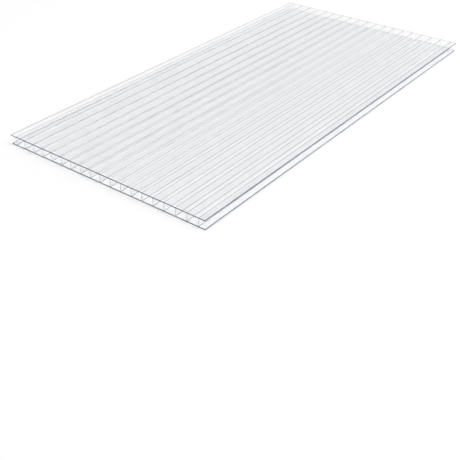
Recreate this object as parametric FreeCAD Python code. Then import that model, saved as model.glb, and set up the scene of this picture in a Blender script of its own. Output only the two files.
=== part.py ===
import FreeCAD, Part
import math
import os

# A twin-wall sheet of clear polycarbonate, extruded in one piece through one die: two flat
# skins held apart by upright ribs. The ribs close off a row of long air cells, open at both
# cut ends. The sheet was slit between two ribs on each long side, so both skins stand past
# the last rib there and leave half a cell open to the side.
#
# It lies flat. X runs along the cells, Y across them and Z up. The origin is the middle of
# the underside.

# Driving dimensions, in millimetres
sheet_length = 1220.0
sheet_width = 610.0
sheet_thickness = 25.0
skin_thickness = 2.8
rib_thickness = 0.8
rib_pitch = 32.0
root_fillet = 0.7

# The die's layout, which follows from them
rib_count = int(sheet_width // rib_pitch)
first_rib = -(rib_count - 1) * rib_pitch / 2
rib_middles = [first_rib + number * rib_pitch for number in range(rib_count)]
cell_floor = skin_thickness
cell_roof = sheet_thickness - skin_thickness


def section_point(across, height):
    """A point of the cross-section, which is drawn in the plane X = 0."""
    return FreeCAD.Vector(0, across, height)


def straight(start, end):
    """A straight stretch of the section's outline."""
    return Part.LineSegment(start, end).toShape()


def root_arc(rib_face, skin_face, off_rib, off_skin):
    """The fillet in the corner of a rib's face and a skin's inner face.

    off_rib and off_skin are 1 or -1, the way from each face into the air."""
    centre_across = rib_face + off_rib * root_fillet
    centre_height = skin_face + off_skin * root_fillet
    reach = root_fillet * math.sqrt(0.5)
    on_skin = section_point(centre_across, skin_face)
    between = section_point(centre_across - off_rib * reach, centre_height - off_skin * reach)
    on_rib = section_point(rib_face, centre_height)
    return Part.Arc(on_skin, between, on_rib).toShape()


def air_space(left, right):
    """The section of the air from one rib face to the next, with a fillet in each corner."""
    outline = [
        root_arc(left, cell_floor, 1, 1),
        root_arc(right, cell_floor, -1, 1),
        root_arc(right, cell_roof, -1, -1),
        root_arc(left, cell_roof, 1, -1),
    ]
    for skin_face in (cell_floor, cell_roof):
        start = section_point(left + root_fillet, skin_face)
        end = section_point(right - root_fillet, skin_face)
        outline.append(straight(start, end))
    for rib_face in (left, right):
        start = section_point(rib_face, cell_floor + root_fillet)
        end = section_point(rib_face, cell_roof - root_fillet)
        outline.append(straight(start, end))
    return Part.Face(Part.Wire(Part.__sortEdges__(outline)))


def sheet_section():
    """The whole cross-section: the sheet's outer rectangle less its cells and side grooves."""
    corners = [
        section_point(-sheet_width / 2, 0),
        section_point(sheet_width / 2, 0),
        section_point(sheet_width / 2, sheet_thickness),
        section_point(-sheet_width / 2, sheet_thickness),
    ]
    rectangle = Part.Face(Part.makePolygon(corners + corners[:1]))
    # A groove is the near half of a cell whose next rib would stand outside the sheet.
    beyond_left = rib_middles[0] - rib_pitch
    beyond_right = rib_middles[-1] + rib_pitch
    ribs_and_missing = [beyond_left] + rib_middles + [beyond_right]
    air = []
    for rib, next_rib in zip(ribs_and_missing, ribs_and_missing[1:]):
        air.append(air_space(rib + rib_thickness / 2, next_rib - rib_thickness / 2))
    return rectangle.cut(air).Faces[0]


def twinwall_sheet():
    """The section drawn out along the cells, and sawn square at both ends."""
    section = sheet_section()
    section.translate(FreeCAD.Vector(-sheet_length / 2, 0, 0))
    return section.extrude(FreeCAD.Vector(sheet_length, 0, 0))


os.makedirs("parts", exist_ok=True)
sheet = twinwall_sheet()
sheet.exportStep("parts/twinwall_sheet.step")
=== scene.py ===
import bpy
import math
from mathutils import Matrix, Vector


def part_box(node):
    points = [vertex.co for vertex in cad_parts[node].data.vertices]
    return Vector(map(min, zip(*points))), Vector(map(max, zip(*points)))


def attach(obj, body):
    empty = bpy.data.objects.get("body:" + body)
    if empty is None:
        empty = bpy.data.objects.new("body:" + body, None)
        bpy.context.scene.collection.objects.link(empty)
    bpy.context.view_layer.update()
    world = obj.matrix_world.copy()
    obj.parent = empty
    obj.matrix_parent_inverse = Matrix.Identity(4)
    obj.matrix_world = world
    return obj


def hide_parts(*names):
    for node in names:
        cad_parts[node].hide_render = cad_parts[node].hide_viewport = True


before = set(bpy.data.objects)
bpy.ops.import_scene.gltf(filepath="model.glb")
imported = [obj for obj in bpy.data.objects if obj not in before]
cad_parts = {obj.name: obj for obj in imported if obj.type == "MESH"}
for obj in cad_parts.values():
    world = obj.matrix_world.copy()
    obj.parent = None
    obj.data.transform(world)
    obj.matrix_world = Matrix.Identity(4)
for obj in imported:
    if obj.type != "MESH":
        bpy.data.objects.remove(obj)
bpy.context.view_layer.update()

bpy.ops.object.select_all(action="DESELECT")

# The sheet
# Clear polycarbonate, extruded in one piece through one die: two flat skins and the upright
# ribs between them. It was sawn to length across its cells and slit to width along them.
low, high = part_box("twinwall_sheet")
sheet_length = high.x - low.x
sheet_width = high.y - low.y
sheet_thickness = high.z - low.z
skin_thickness = 0.0028
rib_thickness = 0.0008
rib_pitch = 0.032
root_fillet = 0.0007
rib_count = int(sheet_width // rib_pitch)
first_rib = -(rib_count - 1) * rib_pitch / 2
hair = 0.00002


def select_points(piece, wanted):
    """Selects the points that are wanted, and leaves the piece in edit mode."""
    bpy.ops.object.mode_set(mode="EDIT")
    bpy.ops.mesh.select_mode(type="VERT")
    bpy.ops.mesh.select_all(action="DESELECT")
    bpy.ops.object.mode_set(mode="OBJECT")
    for point in piece.data.vertices:
        point.select = wanted(point.co)
    bpy.ops.object.mode_set(mode="EDIT")


def divide(plane_point, plane_normal):
    """Draws a line across the whole section, where a plane cuts it."""
    bpy.ops.mesh.select_all(action="SELECT")
    bpy.ops.mesh.bisect(plane_co=plane_point, plane_no=plane_normal)


# The die's opening for one bay, flat at one cut end: the rib first, cut level with the inner
# faces of the skins.
bpy.ops.mesh.primitive_plane_add(size=1)
sheet = bpy.context.object
sheet.name = "sheet_extrusion"
bpy.ops.object.mode_set(mode="EDIT")
bpy.ops.mesh.select_all(action="SELECT")
bpy.ops.transform.resize(value=(sheet_thickness, rib_thickness, 1))
bpy.ops.transform.rotate(value=math.radians(90), orient_axis="Y", center_override=(0, 0, 0))
bpy.ops.transform.translate(value=(low.x, first_rib, sheet_thickness / 2))
cell_floor = skin_thickness
cell_roof = sheet_thickness - skin_thickness
for inner_face in (cell_floor, cell_roof):
    divide((0, 0, inner_face), (0, 0, 1))

# Half a cell of each skin is drawn out of the rib to either side.
skin_reach = (rib_pitch - rib_thickness) / 2
for side in (-1, 1):
    for bottom, top in ((0, cell_floor), (cell_roof, sheet_thickness)):
        select_points(
            sheet,
            lambda point: (point.y - first_rib) * side > 0 and bottom - hair < point.z < top + hair,
        )
        bpy.ops.mesh.select_mode(type="EDGE")
        bpy.ops.mesh.extrude_region_move(
            TRANSFORM_OT_translate={"value": (0, side * skin_reach, 0)}
        )
bpy.ops.mesh.select_all(action="SELECT")
bpy.ops.mesh.dissolve_faces()

# The rib's four roots are rounded where the melt ran together. A line beside each rounding
# keeps the flat faces flat in the light.
select_points(
    sheet,
    lambda point: abs(abs(point.y - first_rib) - rib_thickness / 2) < hair
    and cell_floor - hair < point.z < cell_roof + hair,
)
bpy.ops.mesh.bevel(
    offset=root_fillet, offset_type="OFFSET", segments=6, affect="VERTICES", profile=0.5
)
root_margin = 0.00015
beside_root = root_fillet + root_margin
for height in (cell_floor + beside_root, cell_roof - beside_root):
    divide((0, 0, height), (0, 0, 1))
for side in (-1, 1):
    divide((0, first_rib + side * (rib_thickness / 2 + beside_root), 0), (0, 1, 0))

# The bays stand side by side and join where their skins meet.
bpy.ops.object.mode_set(mode="OBJECT")
bays = sheet.modifiers.new("bays", "ARRAY")
bays.count = rib_count
bays.use_relative_offset = False
bays.use_constant_offset = True
bays.constant_offset_displace = (0, rib_pitch, 0)
bays.use_merge_vertices = True
bays.merge_threshold = hair
bpy.ops.object.modifier_apply(modifier=bays.name)

# The sheet is slit a little outside the last bays.
bays_width = rib_count * rib_pitch
slit_rest = (sheet_width - bays_width) / 2
for side in (-1, 1):
    select_points(sheet, lambda point: point.y * side > bays_width / 2 - hair)
    bpy.ops.transform.translate(value=(0, side * slit_rest, 0))

# The section is drawn out to the sheet's length.
bpy.ops.mesh.select_all(action="SELECT")
bpy.ops.mesh.extrude_region_move(TRANSFORM_OT_translate={"value": (sheet_length, 0, 0)})
bpy.ops.mesh.select_all(action="SELECT")
bpy.ops.mesh.normals_make_consistent(inside=False)
bpy.ops.object.mode_set(mode="OBJECT")
bpy.ops.object.shade_smooth_by_angle(angle=math.radians(35))


def new_material(name):
    """A material with its shader, ready for more nodes."""
    material = bpy.data.materials.new(name)
    material.use_nodes = True
    tree = material.node_tree
    return material, tree.nodes, tree.links, tree.nodes["Principled BSDF"]


def noise(nodes, links, stretch, detail):
    """A noise on the piece's own coordinates, with so many spots to a metre each way."""
    place = nodes.new("ShaderNodeTexCoord")
    scale = nodes.new("ShaderNodeMapping")
    scale.inputs["Scale"].default_value = stretch
    spots = nodes.new("ShaderNodeTexNoise")
    spots.inputs["Scale"].default_value = 1.0
    spots.inputs["Detail"].default_value = detail
    links.new(place.outputs["Object"], scale.inputs["Vector"])
    links.new(scale.outputs["Vector"], spots.inputs["Vector"])
    return spots.outputs["Fac"]


# Most of a noise's values lie between these two.
noise_low = 0.3
noise_high = 0.7


def between(nodes, links, source, lowest, highest):
    """The source's middle range, spread from the lowest value to the highest."""
    spread = nodes.new("ShaderNodeMapRange")
    spread.inputs["From Min"].default_value = noise_low
    spread.inputs["From Max"].default_value = noise_high
    spread.inputs["To Min"].default_value = lowest
    spread.inputs["To Max"].default_value = highest
    links.new(source, spread.inputs["Value"])
    return spread.outputs["Result"]


def relief(nodes, links, source, height):
    """A bump of so many metres between the source's lowest and highest value."""
    bump = nodes.new("ShaderNodeBump")
    bump.inputs["Distance"].default_value = height
    links.new(source, bump.inputs["Height"])
    return bump.outputs["Normal"]


# The clear plastic has the die's lines along the sheet, a few to a millimetre, and is a
# little duller where it was handled. Long ways through it look blue-grey.
plastic_ior = 1.585
die_line_height = 0.000012
clear, nodes, links, shader = new_material("extruded_clear")
shader.inputs["Base Color"].default_value = (0.985, 0.987, 0.99, 1)
shader.inputs["IOR"].default_value = plastic_ior
shader.inputs["Transmission Weight"].default_value = 1.0
die_lines = noise(nodes, links, (0.8, 420, 420), 3.0)
handling = noise(nodes, links, (7, 9, 9), 4.0)
dullness = nodes.new("ShaderNodeMath")
dullness.operation = "MULTIPLY"
links.new(between(nodes, links, die_lines, 0.6, 1.0), dullness.inputs[0])
links.new(between(nodes, links, handling, 0.015, 0.05), dullness.inputs[1])
links.new(dullness.outputs["Value"], shader.inputs["Roughness"])
links.new(relief(nodes, links, die_lines, die_line_height), shader.inputs["Normal"])
depth = nodes.new("ShaderNodeVolumeAbsorption")
depth.inputs["Color"].default_value = (0.2, 0.24, 0.36, 1)
depth.inputs["Density"].default_value = 4.8
links.new(depth.outputs["Volume"], nodes["Material Output"].inputs["Volume"])


def cut_finish_and_painted_shade(name, spots, dark, pale, smoothest, dullest, height):
    """Cut plastic, whose blade marks vary its tone and give its relief, with smoother and duller
    patches. Its dark and pale tones are painted shade, darker than cut clear plastic, for how dark
    clear edges look.
    """
    material, nodes, links, shader = new_material(name)
    shader.inputs["IOR"].default_value = plastic_ior
    shader.inputs["Specular IOR Level"].default_value = 0.1
    blade_marks = noise(nodes, links, spots, 3.0)
    tone = nodes.new("ShaderNodeValToRGB")
    for stop, position, colour in ((0, noise_low, dark), (1, noise_high, pale)):
        tone.color_ramp.elements[stop].position = position
        tone.color_ramp.elements[stop].color = (*colour, 1)
    links.new(blade_marks, tone.inputs["Fac"])
    links.new(tone.outputs["Color"], shader.inputs["Base Color"])
    patches = noise(nodes, links, (60, 60, 60), 3.0)
    links.new(between(nodes, links, patches, smoothest, dullest), shader.inputs["Roughness"])
    links.new(relief(nodes, links, blade_marks, height), shader.inputs["Normal"])
    return material


# The skins' sawn ends are frosted, with the blade's marks standing close together across the
# sheet's width. They are painted slate blue, a painted shade for the dark look of a clear edge from
# outside, and let most light through, so they look pale through the skin.
saw_marks = (300, 1400, 160)
saw_mark_height = 0.00006
sawn = cut_finish_and_painted_shade(
    "sawn_end", saw_marks, (0.36, 0.43, 0.64), (0.5, 0.58, 0.8), 0.38, 0.55, saw_mark_height
)
sawn.node_tree.nodes["Principled BSDF"].inputs["Transmission Weight"].default_value = 0.8

# The ribs are thin enough to flutter under the blade, which leaves their ends dull. Their ends are
# painted dark, a painted shade for how dark the thin clear rib ends look.
dull_rib_end_painted_dark = cut_finish_and_painted_shade(
    "sawn_rib_end", saw_marks, (0.07, 0.09, 0.15), (0.13, 0.16, 0.24), 0.5, 0.72, saw_mark_height
)

# The slit long edges have finer marks, which run along the cut. Their dark slate blue is painted
# shade, for how dark the clear edge looks.
slit_marks = (25, 300, 1800)
slit_mark_height = 0.00003
slit = cut_finish_and_painted_shade(
    "slit_edge", slit_marks, (0.07, 0.095, 0.18), (0.14, 0.175, 0.29), 0.4, 0.6, slit_mark_height
)


def finish_faces(piece, number, wanted):
    """Gives the faces whose centre and normal are wanted the finish with that number."""
    bpy.ops.object.mode_set(mode="EDIT")
    bpy.ops.mesh.select_mode(type="FACE")
    bpy.ops.mesh.select_all(action="DESELECT")
    bpy.ops.object.mode_set(mode="OBJECT")
    for face in piece.data.polygons:
        face.select = wanted(face.center, face.normal)
    bpy.ops.object.mode_set(mode="EDIT")
    piece.active_material_index = number
    bpy.ops.object.material_slot_assign()


# The cut faces look straight along the sheet or straight across it.
square_on = 0.9
for material in (clear, sawn, dull_rib_end_painted_dark, slit):
    sheet.data.materials.append(material)
finish_faces(sheet, 1, lambda centre, normal: abs(normal.x) > square_on)
finish_faces(
    sheet, 2, lambda centre, normal: abs(normal.x) > square_on and cell_floor < centre.z < cell_roof
)
finish_faces(
    sheet,
    3,
    lambda centre, normal: abs(normal.y) > square_on and abs(centre.y) > sheet_width / 2 - hair,
)
bpy.ops.object.mode_set(mode="OBJECT")
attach(sheet, "root")
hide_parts("twinwall_sheet")

# The floor
# A plain white painted floor, just under the sheet. Its glow is only for the eye: it makes
# the floor white in the picture and through the sheet, and lights nothing.
floor_width = 40
floor_gap = 0.0004
floor_glow = 0.15
bpy.ops.object.select_all(action="DESELECT")
bpy.ops.mesh.primitive_plane_add(size=floor_width, location=(0, 0, -floor_gap))
floor = bpy.context.object
floor.name = "floor"
paint, nodes, links, shader = new_material("floor_paint")
shader.inputs["Base Color"].default_value = (0.82, 0.82, 0.82, 1)
shader.inputs["Roughness"].default_value = 0.9
shader.inputs["Specular IOR Level"].default_value = 0.0
rays = nodes.new("ShaderNodeLightPath")
straight_or_gloss = nodes.new("ShaderNodeMath")
straight_or_gloss.operation = "MAXIMUM"
links.new(rays.outputs["Is Camera Ray"], straight_or_gloss.inputs[0])
links.new(rays.outputs["Is Glossy Ray"], straight_or_gloss.inputs[1])
seen = nodes.new("ShaderNodeMath")
seen.operation = "MAXIMUM"
links.new(straight_or_gloss.outputs["Value"], seen.inputs[0])
links.new(rays.outputs["Is Transmission Ray"], seen.inputs[1])
level = nodes.new("ShaderNodeMath")
level.operation = "MULTIPLY"
level.inputs[1].default_value = floor_glow
links.new(seen.outputs["Value"], level.inputs[0])
glow = nodes.new("ShaderNodeEmission")
links.new(level.outputs["Value"], glow.inputs["Strength"])
both = nodes.new("ShaderNodeAddShader")
links.new(shader.outputs["BSDF"], both.inputs[0])
links.new(glow.outputs["Emission"], both.inputs[1])
links.new(both.outputs["Shader"], nodes["Material Output"].inputs["Surface"])
floor.data.materials.append(paint)

# The light
# A pale room lights the sheet evenly from all round. One large soft lamp stands high up on
# the right, where the flat skins mirror it neither to the camera nor straight up.
wall_level = 0.85
room = bpy.data.worlds.new("room")
bpy.context.scene.world = room
room.use_nodes = True
walls = room.node_tree.nodes["Background"]
walls.inputs["Color"].default_value = (wall_level, wall_level, wall_level, 1)

lamp = bpy.data.lights.new("softbox", "AREA")
lamp.shape = "DISK"
lamp.size = 3.0
lamp.energy = 102
softbox = bpy.data.objects.new("softbox", lamp)
softbox.location = (1.99, -2.58, 5.03)
softbox.rotation_euler = (-softbox.location).to_track_quat("-Z", "Y").to_euler()
bpy.context.collection.objects.link(softbox)

# Clear plastic lets much of the light through to the floor, after many turns inside it. No
# turn is blurred, as that would darken the face.
most_turns = 32
cycles = bpy.context.scene.cycles
cycles.blur_glossy = 0.0
cycles.max_bounces = most_turns
cycles.transmission_bounces = most_turns
cycles.glossy_bounces = most_turns

# The camera
# It stands off the near left corner of the sheet and looks down on it. Its place is in
# widths of the sheet, from the middle of the upper skin.
view = bpy.data.cameras.new("camera")
view.lens = 61.03
view.sensor_width = 36
camera = bpy.data.objects.new("camera", view)
upper_skin = Vector((0, 0, sheet_thickness - skin_thickness / 2))
camera_place = Vector((-2.6672, -1.8893, 1.4764))
camera.location = camera_place * sheet_width + upper_skin
camera_pitch = 34.92
camera_heading = 37.58
camera.rotation_euler = (math.radians(90 - camera_pitch), 0, math.radians(camera_heading - 90))
bpy.context.collection.objects.link(camera)
bpy.context.scene.camera = camera

bpy.context.scene.view_settings.view_transform = "Standard"
